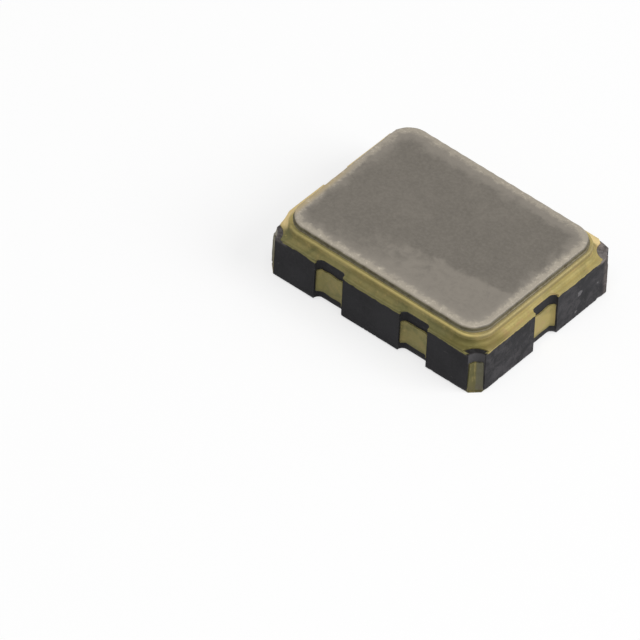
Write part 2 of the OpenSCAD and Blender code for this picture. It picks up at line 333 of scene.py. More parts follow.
def laid_off(points):
    """Points of the body with the cut at the +X +Y corner off its place, up to the body's sides: along
    Y below the top layer, and along X in it, where its tip is also worn back."""
    s, side = sizes(), half_size("ceramic_base")
    x, y, z = points.T
    in_x, in_y = x - side[0], y - side[1]
    near = passed(in_y, -0.3, -0.22) * passed(in_x, -0.4, -0.25)
    above = passed(z - high("side_contact_1")[2], 0, 0.004)
    worn = s.cut_wear * above * passed(in_x, -0.3, -0.1) * passed(in_y, -0.1, 0)
    return np.stack([np.minimum(x + s.layer_shift * near * above, side[0]),
                     np.minimum(y + s.cut_shift * near * (1 - above), side[1]) - worn, z], axis=1)


def printed(outline):
    """The land's outline as printed: towards the corners it lies off along Y, up to the body's side,
    the collar of the +X +Y corner is a little smaller, and the -X edge lies back at its -Y end."""
    s, side = sizes(), half_size("ceramic_base")
    in_x, in_y = (np.abs(outline) - side).T
    near = passed(in_x, -0.3, -0.235) * passed(in_y, -0.38, -0.26)
    away = outline - side
    close = 0.16 * passed(np.linalg.norm(away, axis=1), 0.5, 0.25)
    x, y = (outline - away * close[:, None]).T
    x = np.maximum(x, s.print_back * passed(y, -0.85, -1.05) - side[0])
    return np.stack([x, np.maximum(y - s.print_shift * near, -side[1])], axis=1)


# ---- Surfaces ------------------------------------------------------------


def linked(name, data):
    """A new object of a mesh, lamp or camera, linked to the scene."""
    made = bpy.data.objects.new(name, data)
    bpy.context.collection.objects.link(made)
    return made


def raised(loop, height):
    """An outline of (x, y) points set at a height, or at a height for each point."""
    return np.column_stack([loop, np.broadcast_to(height, len(loop))])


def carried(loop, profile):
    """A profile of (distance outwards, height) pairs carried round an outline: each point moves out
    along its normal by the distance, and up to the height."""
    normal = outward(loop)
    return [raised(loop + normal * out, height) for out, height in profile]


def round_edge(radius, top):
    """The profile of a quarter-round edge below a height: cosine and sine of a quarter turn."""
    turn = np.linspace(0, HALF_PI, 8)
    return list(zip(radius * (np.cos(turn) - 1), top - radius + radius * np.sin(turn)))


def grid_faces(rows, columns, closed_rows):
    """The four-cornered faces of a grid that wraps along each row, and from last row to first if
    closed_rows."""
    row = np.arange(rows if closed_rows else rows - 1)[:, None]
    column = np.arange(columns)[None, :]
    up, on = (row + 1) % rows, (column + 1) % columns
    corners = [row * columns + column, row * columns + on, up * columns + on, up * columns + column]
    return np.stack(corners, axis=-1).reshape(-1, 4)


def piece(name, shells, finish, stands_for, sharp=40):
    """Makes one object from closed shells, each its points and its faces, merges points that
    coincide, turns the faces outwards and shades it smooth up to the angle sharp, in degrees."""
    mesh = bpy.data.meshes.new(name)
    points, faces, start = [], [], 0
    for shell_points, shell_faces in shells:
        points.append(shell_points)
        faces += [[start + k for k in face] for face in shell_faces]
        start += len(shell_points)
    mesh.from_pydata(np.concatenate(points).tolist(), [], faces)
    work = bmesh.new()
    work.from_mesh(mesh)
    bmesh.ops.remove_doubles(work, verts=work.verts, dist=TINY)
    bmesh.ops.dissolve_degenerate(work, edges=work.edges, dist=TINY)
    bmesh.ops.recalc_face_normals(work, faces=work.faces)
    work.to_mesh(mesh)
    work.free()
    mesh.polygons.foreach_set("use_smooth", np.ones(len(mesh.polygons), bool))
    mesh.set_sharp_from_angle(angle=np.radians(sharp))
    mesh.materials.append(finish)
    made = linked(name, mesh)
    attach(made, "root")
    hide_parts(*stands_for)


def shell(rows, closed_rows=False, capped=False):
    """A shell from rows of points, each row closed on itself. Capped, a flat face fills the first and
    the last row."""
    rows = np.asarray(rows)
    count, columns = rows.shape[:2]
    faces = grid_faces(count, columns, closed_rows).tolist()
    if capped:
        faces += [list(range(columns)), list(range((count - 1) * columns, count * columns))]
    return rows.reshape(-1, 3), faces


def slab(outline, bottom, top, edge):
    """A flat plate with its lower edge eased: the outline carried up a short slope and a wall."""
    return shell(carried(outline, [(-edge, bottom), (0, bottom + edge), (0, top)]), capped=True)


def bar(rows):
    """A bar between two flat ends: rows of points along it, closed on each other round its section."""
    rows = np.asarray(rows)
    sides, count = rows.shape[:2]
    row, step = np.arange(sides)[:, None] * count, np.arange(count - 1)[None, :]
    up = np.roll(row, -1, axis=0)
    faces = np.stack([row + step, row + step + 1, up + step + 1, up + step], axis=-1).reshape(-1, 4).tolist()
    faces += [(row[:, 0] + end).tolist() for end in (0, count - 1)]
    return rows.reshape(-1, 3), faces


def tube(path, radius, sides=12):
    """A round tube along an open path in an X plane: at each point a ring in the plane across the
    path, closed to a point at both ends."""
    ahead = np.gradient(path, axis=0)
    ahead /= np.linalg.norm(ahead, axis=1, keepdims=True)
    side = np.array([1.0, 0, 0])
    lift = np.cross(ahead, side)
    angle = np.linspace(0, 2 * np.pi, sides, endpoint=False)
    ring = np.cos(angle)[None, :, None] * side + np.sin(angle)[None, :, None] * lift[:, None, :]
    rows = path[:, None, :] + radius * ring
    ends = [np.repeat(path[k][None], sides, axis=0) for k in (0, -1)]
    return shell([ends[0], *rows, ends[1]])


def button(centre, radius, height, sides=20):
    """A flattened drop: rings of set shares of the radius and the height, from its foot to its top."""
    turn = np.linspace(0, 2 * np.pi, sides, endpoint=False)
    ring = raised(rays(turn), 0)
    rows = [(0, 0), (0.9, 0), (1, 0.25), (0.95, 0.6), (0.7, 0.9), (0, 1)]
    return shell([centre + ring * radius * r + (0, 0, height * h) for r, h in rows])


# ---- Finishes ------------------------------------------------------------


def join(tree, socket, value):
    """Links a socket to what a node works out, or sets it to a plain value."""
    value = getattr(value, "socket", value)
    if isinstance(value, bpy.types.NodeSocket):
        tree.links.new(value, socket)
    else:
        socket.default_value = value


def add(tree, kind, inputs=None, **settings):
    """Adds a node to a tree, and links or sets its inputs by name or by number."""
    node = tree.nodes.new(kind)
    for key, value in settings.items():
        setattr(node, key, value)
    for key, value in (inputs or {}).items():
        named = (s for s in node.inputs if key in (s.name, s.identifier))
        join(tree, node.inputs[key] if isinstance(key, int) else next(named), value)
    return node


class Value:
    """A number that a tree's nodes work out. Plain sums and products can be written with it."""

    def __init__(self, tree, socket):
        self.tree, self.socket = tree, socket

    def worked(self, operation, *others):
        """What a node's operation makes of this value and others."""
        inputs = dict(enumerate((self, *others)))
        return Value(self.tree, add(self.tree, "ShaderNodeMath", inputs, operation=operation).outputs[0])

    __add__ = partialmethod(worked, "ADD")
    __sub__ = partialmethod(worked, "SUBTRACT")
    __mul__ = partialmethod(worked, "MULTIPLY")
    __pow__ = partialmethod(worked, "POWER")
    __abs__ = partialmethod(worked, "ABSOLUTE")
    most = partialmethod(worked, "MAXIMUM")
    least = partialmethod(worked, "MINIMUM")
    root = partialmethod(worked, "SQRT")

    def __rsub__(self, other):
        return self.worked("MULTIPLY_ADD", -1.0, other)

    def over(self, start, end, to_min=0.0, to_max=1.0, interpolation="SMOOTHSTEP"):
        """Carried from the range start to end over to to_min to to_max, and held at both."""
        inputs = {"Value": self, "From Min": start, "From Max": end, "To Min": to_min, "To Max": to_max}
        node = add(self.tree, "ShaderNodeMapRange", inputs, interpolation_type=interpolation, clamp=True)
        return Value(self.tree, node.outputs[0])


def scaled(shade, factor):
    """A colour times a number, or times one number each for red, green and blue."""
    return [min(1, k * float(f)) for k, f in zip(shade, np.broadcast_to(factor, 3))]


class Finish:
    """A material: its tree of nodes, its main shader, and the colour and bumps laid on so far."""

    def __init__(self, name):
        self.material = bpy.data.materials.new(name)
        self.material.use_nodes = True
        self.tree = self.material.node_tree
        self.tree.nodes.clear()
        self.shader = add(self.tree, "ShaderNodeBsdfPrincipled")
        self.output = add(self.tree, "ShaderNodeOutputMaterial", {"Surface": self.shader.outputs[0]})
        self.colour = self.normal = None

    def place(self, stretch=(1, 1, 1)):
        """The piece's own coordinates in millimetres, stretched along each axis."""
        own = add(self.tree, "ShaderNodeTexCoord").outputs["Object"]
        inputs = {"Vector": own, "Scale": [k / MM for k in stretch]}
        return add(self.tree, "ShaderNodeMapping", inputs).outputs[0]

    def axes(self):
        """The piece's own x, y and z in millimetres."""
        parts = add(self.tree, "ShaderNodeSeparateXYZ", {"Vector": self.place()})
        return [Value(self.tree, socket) for socket in parts.outputs]

    def noise(self, scale, detail=3.0, roughness=0.55, distortion=0.0, stretch=(1, 1, 1)):
        """Smooth noise of 0 to 1, with that many waves in a millimetre."""
        inputs = {"Vector": self.place(stretch), "Scale": scale, "Detail": detail,
                  "Roughness": roughness, "Distortion": distortion}
        return Value(self.tree, add(self.tree, "ShaderNodeTexNoise", inputs).outputs[0])

    def blend(self, share, first, second):
        """Two colours mixed by a share. Each of the three is plain or comes from nodes."""
        first, second = (c if isinstance(c, bpy.types.NodeSocket) else (*c[:3], 1) for c in (first, second))
        inputs = {"Factor_Float": share, "A_Color": first, "B_Color": second}
        return add(self.tree, "ShaderNodeMix", inputs, data_type="RGBA").outputs[2]

    def coat(self, share, shade, factor=None):
        """Lays a colour, times a factor, over what is there, by a share."""
        shade = shade if factor is None else scaled(shade, factor)
        self.colour = self.blend(share, self.colour, shade)

    def bump(self, height, distance, strength):
        """Lays bumps of a height in millimetres over those that are there."""
        inputs = {"Height": height, "Distance": distance * MM, "Strength": strength}
        if self.normal is not None:
            inputs["Normal"] = self.normal
        self.normal = add(self.tree, "ShaderNodeBump", inputs).outputs[0]

    def done(self, roughness, **inputs):
        """Joins everything to the shader, whose Base Color is Base_Color here, and gives the material."""
        inputs.update(Base_Color=self.colour, Roughness=roughness)
        if self.normal is not None:
            inputs["Normal"] = self.normal
        for key, value in inputs.items():
            join(self.tree, self.shader.inputs[key.replace("_", " ")], value)
        return self.material


def seen(tree):
    """1 for what the camera sees itself, or in metal or through glass, and 0 for what lights."""
    path = add(tree, "ShaderNodeLightPath").outputs
    kinds = ("Is Camera Ray", "Is Glossy Ray", "Is Transmission Ray")
    camera, glossy, through = (Value(tree, path[kind]) for kind in kinds)
    return camera.most(glossy.most(through))


def mixed_shaders(tree, share, first, second):
    """A node that mixes two shaders by a share."""
    return add(tree, "ShaderNodeMixShader", {0: share, 1: first.outputs[0], 2: second.outputs[0]})


def from_sides(x, y):
    """How far inside the body's ends and how far inside its sides a place lies, in millimetres."""
    return [float(h) - abs(v) for v, h in zip((x, y), half_size("ceramic_base") / MM)]


def fired_ceramic():
    """Black ceramic: fine grain, faint clouds, rubbed lower and upper edges and a few pale scuffs.
    At its top edge the land's print runs down over the sides. Painted light lightens the +X end, the
    cut at +X -Y and the castellation at -X -Y; painted shade darkens the top at +X -Y, the horns
    towards that corner and the print's -Y side."""
    f, c = Finish("fired_ceramic"), colours()
    x, y, z = f.axes()
    base, top = (level / MM for level in levels("ceramic_base"))
    to_end, to_side = from_sides(x, y)
    to_corner, to_wall = to_end + to_side, to_end.least(to_side)
    grain, blotch = f.noise(38, 3, 0.7), f.noise(14, 4, 0.65)

    f.colour = scaled(c.ceramic, 0.6)
    f.coat(f.noise(2.2, 4).over(0.3, 0.7), c.ceramic, 1.1)
    f.coat(grain.over(0.35, 0.75, 0, 0.45), c.ceramic, 2.1)
    # pale blotches on the +X end, which also serve as painted light lightening that lit end
    end = x.over(1.5, 1.6)
    mottle = f.noise(6.5, 5, 0.72, 0.6).over(0.42, 0.66, 0, 0.62)
    f.coat(end * mottle, c.scuff, (0.46, 0.45, 0.46))
    f.coat(f.noise(5.5, 5, 0.7, 0.6, (1, 1, 2.6)).over(0.62, 0.72, 0, 0.5), c.scuff, 0.62)

    # the bare corners of the top layer, pale, palest at +Y and fading to painted shade at +X -Y
    horn = to_corner.over(0.36, 0.28) * z.over(0.54, 0.6)
    horn = horn * (y + x * -0.5).over(-1.7, 0.6, 0.12, 1.0) * blotch.over(0.4, 0.62, 0.35, 1.0)
    f.coat(horn, c.scuff, (1.75, 1.6, 1.45))
    f.coat(y.over(1.03, 1.09) * end * blotch.over(0.35, 0.6, 0.25, 0.55), c.scuff, (1.1, 0.95, 0.85))

    # edges rubbed in patches, and the chips
    lower_edge = z.over(base + 0.035, base, 0, 1) * z.over(base + 0.0005, base + 0.003)
    edges = lower_edge.most(z.over(top - 0.02, top, 0, 0.6))
    f.coat(edges * f.noise(7, 4, 0.65).over(0.42, 0.68), c.scuff)
    shards = f.noise(24, 2, 0.5, 0.8)
    for spot, size in CHIPS:
        off = add(f.tree, "ShaderNodeVectorMath", {0: f.place(), 1: spot}, operation="DISTANCE")
        off = shards * 0.09 + Value(f.tree, off.outputs["Value"])
        f.coat(off.over(size + 0.045, size + 0.035, 0, 0.8), c.scuff)

    # the +X -Y corner: painted shade on the very top, and painted light on the cut's wall under it
    near = (x - y).over(2.45, 2.5)
    f.coat(near * z.over(top - 0.012, top - 0.004, 0, 0.75), c.ceramic, 0.35)
    cut = to_wall.over(0.006, 0.016) * z.over(top - 0.012, top - 0.03, 0, 0.6)
    f.coat(near * cut, c.scuff, 0.75)

    # a pale strip painted up the castellation at -X -Y, as painted light on a wall turned away from the key
    # light
    ragged = (blotch * 0.12 + z).over(0.44, 0.52) * z.over(0.61, 0.57, 0, 0.85)
    f.coat(x.over(-1.5, -1.54) * y.over(-1.088, -1.10) * ragged, (0.42, 0.39, 0.32))

    # the land's print, run down from the top edge by an uneven depth, clear of the collars
    run = f.noise(5, 4, 0.6).over(0.3, 0.7, 0.006, 0.032) - (float(top) - z)
    collar = (x - y).over(1.2, 2.4, 0.265, 0.175)
    run = run.over(-0.006, 0.006) * to_wall.over(0.03, 0.012) * (to_corner - collar).over(-0.012, 0.012)
    # painted shade: the print darker and greener on the -Y side
    f.coat(run, f.blend(y.over(-1.02, -1.1, 0, 0.85), c.gold, c.tarnish_and_shade))

    f.bump(grain, 0.0022, 0.8)
    f.bump(f.noise(9, 3), 0.004, 0.6)
    return f.done(grain.over(0.2, 0.8, 0.48, 0.7), Metallic=run * PLATE_METAL, Specular_IOR_Level=0.10)


def braze_shade_and_highlight(f, x, y, z, small):
    """The braze: painted shade on its slope and along its outer edge at -Y and +X, and at the +X -Y
    corner, and a painted highlight along the -X and +Y sides."""
    tarnish_and_shade = colours().tarnish_and_shade
    level = (low("braze_land")[2] + sizes().plating) / MM
    # painted shade on the slope and the outer edge, damping their glints
    slope = z.over(level + 0.0005, level + 0.006) * z.over(level + 0.055, level + 0.03)
    outer = y.over(-1.16, -1.24).most(x.over(1.54, 1.6, 0, 0.6))
    f.coat(outer * 0.45 + slope * x.over(1.45, 1.52, 0.22, 0.32), tarnish_and_shade, 0.6)
    # painted shade at the +X -Y corner, under the ring's corner
    half = half_size("ceramic_base") / MM
    corner = (float(half[0]) - x) + (y + float(half[1]))
    corner = corner.over(0.72, 0.42) * corner.over(0.2, 0.3, 0.5, 1.0)
    f.coat(corner * 0.62, tarnish_and_shade, (0.62, 0.56, 0.3))
    # painted highlight along the -X and +Y sides
    far_side_highlight = x.over(-1.38, -1.44).most(y.over(1.13, 1.17)) * y.over(-1.14, -1.0)
    f.coat(far_side_highlight * 0.75, (0.76, 0.61, 0.32))


def ring_highlight_and_shade(f, x, y, z, small):
    """The ring: a painted highlight along its outer top edge on the -Y side, painted light at -X, and
    painted shade under its top at +X.
    """
    top = high("seal_ring")[2] / MM
    # painted highlight on the outer top edge at -Y, stronger towards +X
    crest_highlight = z.over(top - 0.034, top - 0.012) * z.over(top, top - 0.003) * y.over(-1.05, -1.12)
    crest_highlight = crest_highlight * small.over(0.25, 0.6, 0.6, 1.0) * x.over(-1.2, 1.3, 0.3, 0.95, "LINEAR")
    f.coat(crest_highlight, colours().gold, 1.25)
    # painted light on the -X end
    f.coat(x.over(-1.44, -1.48) * y.over(-1.08, -0.98) * 0.8, (0.62, 0.50, 0.26))
    # painted shade under the top at +X
    f.coat(z.over(top - 0.09, top - 0.035) * x.over(1.40, 1.46, 0, 0.72), (0.27, 0.225, 0.11))


def terminal_wear_and_light(f, x, y, z, small):
    """A terminal: dull, with painted light at -X, a painted highlight in upward streaks on one half of
    its castellation, and painted grey shade on the other."""
    c = colours()
    to_end, to_side = from_sides(x, y)
    half = to_end - to_side
    f.coat(0.7, c.tarnish_and_shade, 0.6)
    # painted light: the -X face, turned away from the key light, made paler, most near the top
    pale = f.blend(z.over(0.18, 0.42), (0.32, 0.28, 0.21), (0.58, 0.53, 0.41))
    f.coat(x.over(-1.45, -1.51, 0, 0.9), pale)
    # painted highlight, in upward streaks, on one half of the castellation
    highlight_streaks = f.noise(22, 3, 0.6, 0, (1, 1, 0.25)).over(0.5, 0.68, 0, 0.8)
    f.coat(highlight_streaks * half.over(-0.03, 0.03), c.gold, 0.8)
    # painted shade, grey, on the other half
    f.coat(half.over(0.015, -0.03) * z.over(0.025, 0.05) * 0.8, (0.125, 0.12, 0.085))
    f.coat(z.over(0.14, 0.07) * small.over(0.35, 0.6) * 0.4, (0.12, 0.09, 0.07))


def contact_wear(f, x, y, z, small):
    """A side contact: its foot is duller, up to an uneven line."""
    f.coat((small * 0.08 + z).over(0.24, 0.18, 0, 0.55), colours().tarnish_and_shade, 0.75)


def gold_plate(name, marks, wear=None, share=1.0, side_shade=0.68):
    """Plated gold on a rough ground: satin, duller and greener in patches, and darker and greener
    towards the -Y side as painted shade; rosy here and there, with brighter rubbed spots and fine
    pits. The function wear lays on what one kind of piece alone shows: wear, and painted light and
    shade."""
    f, c = Finish(name), colours()
    x, y, z = f.axes()
    small, grain = f.noise(16, 4, 0.65), f.noise(70, 2, 0.6)
    # painted shade: the -Y side, turned away from the key light, goes darker and greener
    side = y.over(-1.02, -1.1, 0, side_shade)
    f.colour = gold = scaled(c.gold, share)
    f.coat(side + f.noise(3.4, 4, 0.6, 0.8).over(0.42, 0.72, 0, 0.4 * marks), c.tarnish_and_shade)
    rosy = f.noise(8.0, 4, 0.6, 0.5).over(0.5, 0.68, 0, 0.6) * side.over(0, 0.6, 1, 0.25)
    f.coat(rosy, gold, (1.04, 0.88, 1.15))
    f.coat(small.over(0.52, 0.8, 0, 0.5), gold, 1.25)
    f.coat(small.over(0.42, 0.25, 0, 0.4 * marks), c.tarnish_and_shade)
    if wear:
        wear(f, x, y, z, small)
    f.bump(grain, 0.0012, 0.7)
    f.bump(small, 0.003, 0.6)
    return f.done(small.over(0.25, 0.75, 0.56, 0.74), Metallic=PLATE_METAL)


def inside_edge(x, y, half, radius):
    """How far inside a rounded rectangle a place lies, in millimetres: the usual distance to a box
    with round corners, turned in sign."""
    over = [abs(v) - float(h - radius) for v, h in zip((x, y), half)]
    square = over[0].most(0.0) ** 2.0 + over[1].most(0.0) ** 2.0
    flat = over[0].most(over[1]).least(0.0)
    return float(radius) - (square.root() + flat)


def matt_nickel():
    """The lid: matt nickel with fine speckle and mottling, a rubbed paler field towards one corner, a
    cloudy border, a bright welded rim, and sides in painted shade, darkest at their foot, with
    darker spots."""
    f, c, s = Finish("matt_nickel"), colours(), sizes()
    x, y, z = f.axes()
    base, top = (level / MM for level in levels("lid"))
    speckle, mottle = f.noise(26, 3, 0.7), f.noise(11, 5, 0.7, 0.3)
    clouds = f.noise(1.9, 4, 0.6, 0.5)
    wave = f.noise(5.5, 4, 0.62, 0.4).over(0.25, 0.75, -0.5, 0.5, "LINEAR")

    f.colour = c.lid
    f.coat(clouds.over(0.35, 0.7, 0, 0.25), c.lid_mark)
    f.coat(mottle.over(0.3, 0.7, 0.4, 0), c.lid, 0.82)
    f.coat(speckle.over(0.35, 0.7, 0, 0.3), c.lid_mark)

    # the rubbed field lies past a slanting line, and fades out at its other end
    past = wave * 0.09 + (x * 0.10 - 0.46) - y
    field = past.over(-0.02, 0.06) * (past * 1.3 + x + wave).over(-0.5, 0.7)
    f.coat(field * mottle.over(0.25, 0.6, 0.55, 0.95), c.lid_mark)

    # the cloudy border, the welded rim and its bright grains
    inside = inside_edge(x, y, (half_size("lid") + s.lid_spread) / MM, (s.lid_radius + s.lid_spread) / MM)
    border = wave * 0.2 + (inside - y.over(0.3, 1.0, 0.0, 0.09))
    f.coat(border.over(0.24, 0.05, 0, 0.75), c.lid_mark, 1.08)
    rim = mottle.over(0.3, 0.7, -0.5, 0.5) * 0.07 + inside
    # the rim's slight fall-off towards the far -X +Y sides is painted shade
    rim = rim.over(0.13, 0.05, 0, 0.85) * (x * 0.6 + y * -0.8).over(-0.9, 0.6, 0.95, 1.0)
    f.coat(rim, c.lid_rim)
    f.coat(x.over(-1.35, -1.44) * y.over(0.4, -0.4, 0, 0.7), (0.42, 0.33, 0.175))
    f.coat(speckle.over(0.52, 0.7, 0, 0.7) * rim ** 2.0, c.lid_rim, 1.6)

    # the sides in painted shade: the +X end's edge dimmed, and the sides darkest at their foot against the
    # ring, a little lighter at the +X end, with darker spots
    f.coat(z.over(top - 0.008, top - 0.02) * x.over(1.34, 1.40, 0, 0.8), c.lid, 0.8)
    at_end = x.over(1.3, 1.42)
    shaded_flank = f.blend(at_end, (0.20, 0.185, 0.13), (0.205, 0.185, 0.125))
    shaded_foot = f.blend(at_end, (0.085, 0.078, 0.045), (0.13, 0.11, 0.075))
    shaded_flank = f.blend(z.over(base + 0.034, base + 0.012, 0, 0.5), shaded_flank, shaded_foot)
    shaded_flank = f.blend(f.noise(13, 4, 0.7).over(0.42, 0.72, 0, 0.8), shaded_flank, (0.09, 0.075, 0.05))
    f.coat(z.over(top - 0.025, top - 0.045), shaded_flank)

    f.bump(speckle, 0.0016, 0.7)
    f.bump(f.noise(4.5, 3), 0.004, 0.5)
    gloss = clouds.over(0.25, 0.75, 0.40, 0.5) + inside.over(0.14, 0.06, 0, 0.2)
    return f.done(gloss, Metallic=1.0)


def speckled(name, shade, other, scale, metallic=0.0, roughness=(0.3, 0.5), relief=0.001):
    """A plain finish with fine speckle in colour, gloss and relief, in millimetres."""
    f = Finish(name)
    grain = f.noise(scale, 4, 0.65)
    f.colour = shade
    f.coat(grain.over(0.3, 0.7), other)
    f.bump(grain, relief, 0.6)
    return f.done(grain.over(0.3, 0.7, *roughness), Metallic=metallic)


def circuit_silicon():
    """The die: dark silicon with a grid of faint blocks and lines on it, as a circuit's layers show."""
    f = Finish("circuit_silicon")
    inputs = {"Vector": f.place(), "Scale": 11.0, "Randomness": 0.75}
    cells = add(f.tree, "ShaderNodeTexVoronoi", inputs, distance="CHEBYCHEV", feature="F1")
    tone = add(f.tree, "ShaderNodeSeparateColor", {"Color": cells.outputs["Color"]}).outputs[0]
    inputs = {"Vector": f.place(), "Scale": 30.0, "Distortion": 0.0}
    lines = add(f.tree, "ShaderNodeTexWave", inputs, bands_direction="X").outputs[1]
    tone, lines = Value(f.tree, tone), Value(f.tree, lines)
    f.colour = (0.05, 0.06, 0.09)
    f.coat(tone, (0.16, 0.14, 0.17))
    f.coat(lines.over(0.6, 0.9, 0, 0.4), (0.2, 0.2, 0.17))
    return f.done(tone.over(0, 1, 0.15, 0.3), Coat_Weight=0.3)


def lapped_quartz():
    """The quartz blank: clear and slightly frosted by lapping."""
    f = Finish("lapped_quartz")
    grain = f.noise(45, 3, 0.7)
    f.colour = (0.82, 0.88, 0.9)
    f.coat(grain, (0.95, 0.97, 0.98))
    f.bump(grain, 0.0008, 0.5)
    return f.done(grain.over(0.3, 0.7, 0.18, 0.36), IOR=1.54, Transmission_Weight=0.8)


def dress(node, finish):
    """Gives a CAD node that keeps its own surface a finish."""
    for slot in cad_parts[node].material_slots:
        slot.material = finish


# ---- Operators -----------------------------------------------------------


class MakeBody(bpy.types.Operator):
    """Builds the ceramic body: its outline carried up, eased at both edges with small chips, and
    inside, level by level, the stepped cavity."""

    bl_idname = "oscillator.make_body"
    bl_label = "Ceramic body"

    def execute(self, context):
        s = sizes()
        (base, top), side = levels("ceramic_base"), half_size("ceramic_base")
        loop = package_outline(s.corner_radius)
        place, edge = travelled(loop), s.body_edge
        chips = 0.010 * MM * ease(wander(place, 70, 4) - 0.9) + 0.004 * MM * ease(wander(place, 210, 9) - 0.6)
        crumbs = 0.012 * MM * ease(wander(place, 110, 21) - 1.0)

        def wall(inset, height, chip, worn=0):
            """The outline at a height, inset by a distance and its chips, and worn at +X -Y."""
            line = loop - outward(loop) * (inset + chip)[:, None]
            return trimmed(laid_off(raised(worn_round(line, worn * s.foot_wear) if worn else line, height)))

        joint = high("side_contact_1")[2]
        foot = ((2 * edge, 0, 0, 1), (edge, 0, 1, 1), (0.3 * edge, 0.3 * edge, 1, 0.9),
                (0, edge, 1, 0.75), (0, 2 * edge, 0.7, 0.55), (0, 5 * edge, 0.1, 0.25))
        brim = ((0, 15 * edge, 0), (0, 3 * edge, 0.2), (0, edge, 1), (0.3 * edge, 0.3 * edge, 1),
                (edge, 0, 1), (2 * edge, 0, 0))
        rows = [raised(nearest_on(loop, side - 0.4 * MM, 0.05 * MM), base)]
        rows += [wall(inset, base + height, chips * share, worn) for inset, height, share, worn in foot]
        rows += [wall(0, height, 0 * place) for height in np.linspace(base + 0.1 * MM, joint, 4)]
        rows.append(wall(0, joint + 0.004 * MM, 0 * place))
        rows += [wall(inset, top - height, crumbs * share) for inset, height, share in brim]
        above = top
        for half, level, corner in self.cavity():
            ring = nearest_on(loop, half, corner)
            rows += [raised(ring, above), raised(ring, level)]
            above = level
        piece("body_ceramic", [shell(rows, capped=True)], fired_ceramic(), ["ceramic_base"])
        return {"FINISHED"}

    @staticmethod
    def cavity():
        """Half size, floor level and corner radius of each step of the cavity, read from what lies in
        it."""
        s = sizes()
        chamber = half_size("ceramic_base") - s.wall
        bonding = chamber - (s.end_shelf, s.side_shelf)
        well = half_size("oscillator_die") + s.die_room
        return ((chamber, low("crystal_pad_1")[2], s.chamber_radius),
                (bonding, low("bond_finger_1")[2], SHARP), (well, low("die_attach_pad")[2], SHARP))


class MakeLand(bpy.types.Operator):
    """Builds the plated land and the braze: the collared outline carried up, a hollow fillet that
    climbs to the ring's wall, and the flat under the ring in to the chamber."""

    bl_idname = "oscillator.make_land"
    bl_label = "Plated land and braze"

    def execute(self, context):
        s = sizes()
        base, top = levels("braze_land")
        level = base + s.plating
        size = top - level
        outer = printed(trimmed(raised(package_outline(s.collar_radius), level))[:, :2])
        foot = nearest_on(outer, half_size("seal_ring"), s.ring_radius)
        room = np.linalg.norm(outer - foot, axis=1)
        away = (outer - foot) / room[:, None]
        hair = 0.001 * MM
        reach = np.minimum(room - hair, size * (1 + 0.12 * wander(travelled(outer), 40, 5)))
        ring = nearest_on(outer, half_size("ceramic_base") - s.wall, s.chamber_radius)
        rows = [raised(ring, base), raised(outer, base), raised(outer, level - hair),
                raised(outer - away * hair, level)]
        for share in np.linspace(1, 0, 9):
            gap = reach * share
            climb = size * (1 - np.sqrt(np.clip(1 - (1 - gap / size).clip(0, 1) ** 2, 0, 1)))
            rows.append(raised(foot + away * gap[:, None], level + climb))
        under = foot - away * 0.004 * MM
        rows += [raised(under, top), raised(under, level), raised(ring, level)]
        finish = gold_plate("gold_land", 1.0, braze_shade_and_highlight)
        piece("land_and_braze", [shell(rows, closed_rows=True)], finish, ["braze_land"], 50)
        return {"FINISHED"}


class MakeRing(bpy.types.Operator):
    """Builds the seal ring: a bar section with its outer top edge rounded, carried round a rounded
    rectangle."""

    bl_idname = "oscillator.make_ring"
    bl_label = "Seal ring"

    def execute(self, context):
        s = sizes()
        base, top = levels("seal_ring")
        loop = rounded_rectangle(half_size("seal_ring"), s.ring_radius)
        e, width = s.ring_edge, s.ring_width
        profile = [(0, base), (0, base + 0.3 * (top - base)), (0, top - 1.6 * e), *round_edge(e, top)]
        profile += [(-1.6 * e, top), (-width + 2 * e, top), (-width, top), (-width, base)]
        finish = gold_plate("gold_ring", 0.8, ring_highlight_and_shade, side_shade=0.46)
        ring = shell(carried(loop, profile), closed_rows=True)
        piece("ring_plated", [ring], finish, ["seal_ring"], 50)
        return {"FINISHED"}


class MakeLid(bpy.types.Operator):
    """Builds the lid: a hollow bead of weld at its foot, a side, a round edge, a soft crown that falls
    off towards the edge with the square of the distance, and a flat middle, carried round a rounded
    rectangle."""

    bl_idname = "oscillator.make_lid"
    bl_label = "Lid"

    def execute(self, context):
        s = sizes()
        base, top = levels("lid")
        loop = rounded_rectangle(half_size("lid") + s.lid_spread, s.lid_radius + s.lid_spread)
        place = travelled(loop)
        loop = turned(loop, s.lid_turn) + (-s.lid_off / 2, s.lid_off)
        waver = 0.002 * MM * np.clip(wander(place, 70, 12) - 1, -2, 0)
        e, crown, fall, bead = s.lid_edge, s.lid_crown, s.lid_fall, s.weld_bead
        turn = np.linspace(0, HALF_PI, 8)
        profile = list(zip(bead * (1 - np.sin(turn)), base + bead * (1 - np.cos(turn))))
        profile += [(0, top - fall - 1.4 * e), *round_edge(e, top - fall)]
        share = np.linspace(0.1, 1, 10)
        profile += list(zip(-e - share * (crown - e), top - fall * (1 - share) ** 2))
        normal = outward(loop)
        rows = [raised(loop + normal * (out + waver)[:, None], height) for out, height in profile]
        piece("lid_welded", [shell(rows, capped=True)], matt_nickel(), ["lid"], 50)
        return {"FINISHED"}


